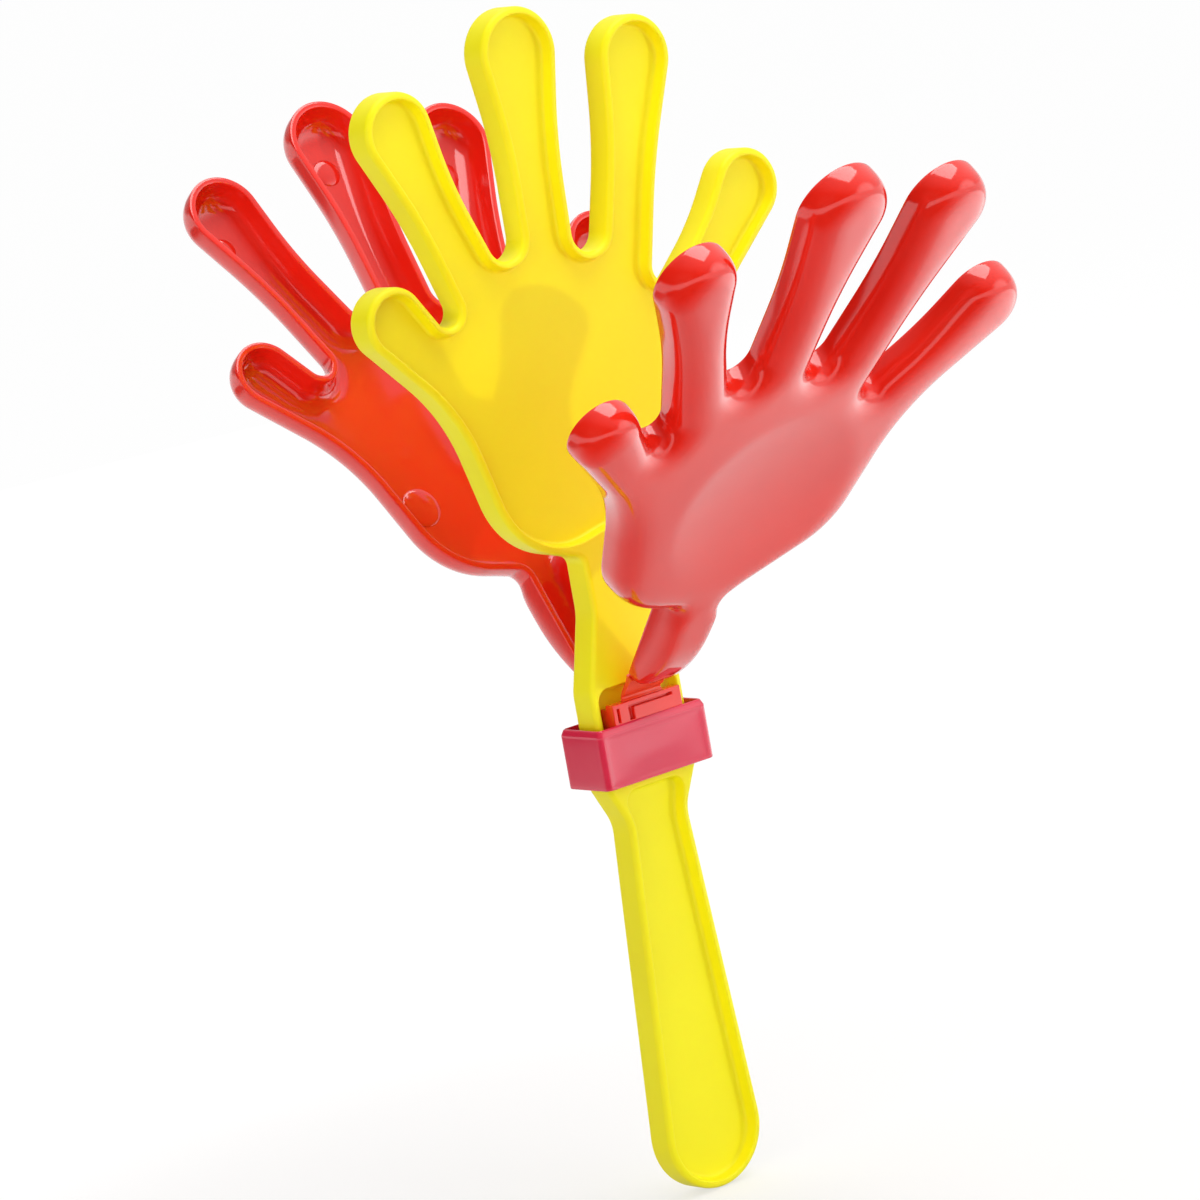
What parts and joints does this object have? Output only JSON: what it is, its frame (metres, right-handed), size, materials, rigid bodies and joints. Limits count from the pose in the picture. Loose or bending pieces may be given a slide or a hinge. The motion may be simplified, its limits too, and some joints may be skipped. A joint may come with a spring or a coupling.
{
  "type": "hand clapper",
  "caption": "Hand-shaped noise maker: a flat hand on a handle, with a hollow hand hinged on each face that claps against it when shaken.",
  "frame": {"origin": "middle of the grip of the handle, in the middle of its depth", "axes": "+Z along the handle to the fingertips of the centre hand, -Y towards the front hand, +X to the little finger"},
  "size_m": [0.124, 0.2012, 0.28],
  "materials": {
    "yellow_plastic": "satin moulded plastic",
    "red_plastic": "gloss moulded plastic",
    "orange_red_plastic": "thin bent plastic, lighter where it is stretched",
    "pink_red_plastic": "gloss moulded plastic"
  },
  "bodies": {
    "handle": {"centre_hand": "yellow_plastic", "collar": "pink_red_plastic", "front_base_plate": "red_plastic", "back_base_plate": "red_plastic", "front_hinge_web": "orange_red_plastic", "back_hinge_web": "orange_red_plastic"},
    "front_hand": {"front_hand": "red_plastic"},
    "back_hand": {"back_hand": "red_plastic"}
  },
  "joints": [
    {"name": "front_hinge", "type": "hinge", "parent": "handle", "child": "front_hand", "pos_m": [0, -0.00495, 0.0698], "axis": [1, 0, 0], "range_deg": [-41.5, 44], "stiffness_Nm_per_rad": 0.08, "springref_deg": -9.68},
    {"name": "back_hinge", "type": "hinge", "parent": "handle", "child": "back_hand", "pos_m": [0, 0.00495, 0.0698], "axis": [-1, 0, 0], "range_deg": [-28, 57], "stiffness_Nm_per_rad": 0.08, "springref_deg": -7.16}
  ]
}
